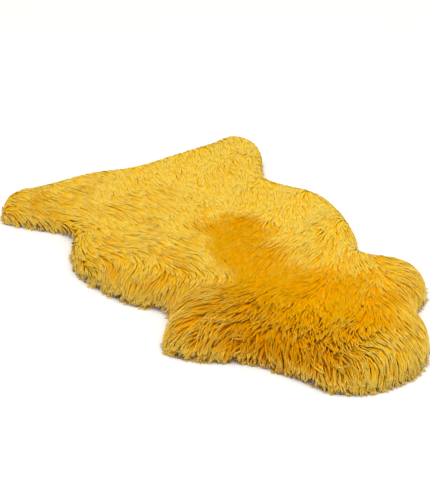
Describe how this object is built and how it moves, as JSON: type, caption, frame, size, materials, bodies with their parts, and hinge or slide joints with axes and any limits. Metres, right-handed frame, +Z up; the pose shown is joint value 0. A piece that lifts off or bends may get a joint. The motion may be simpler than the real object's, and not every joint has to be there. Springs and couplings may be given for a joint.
{
  "type": "sheepskin rug",
  "caption": "Single-pelt sheepskin floor rug lying flat: a thin tanned hide under a lumpy long fleece, with locks of wool over its rim.",
  "frame": {"origin": "middle of the rug's box, on the surface that it lies on", "axes": "+X along the back line from the rump to the neck, +Y across to the pelt's left, +Z up out of the wool"},
  "size_m": [0.9504, 0.601, 0.0648],
  "materials": {
    "wool": "long dyed wool in soft locks, mustard yellow, darker towards the roots",
    "hide_leather": "tanned suede, matt and pale"
  },
  "bodies": {
    "root": {"fleece": "wool", "hide": "hide_leather"}
  },
  "joints": []
}
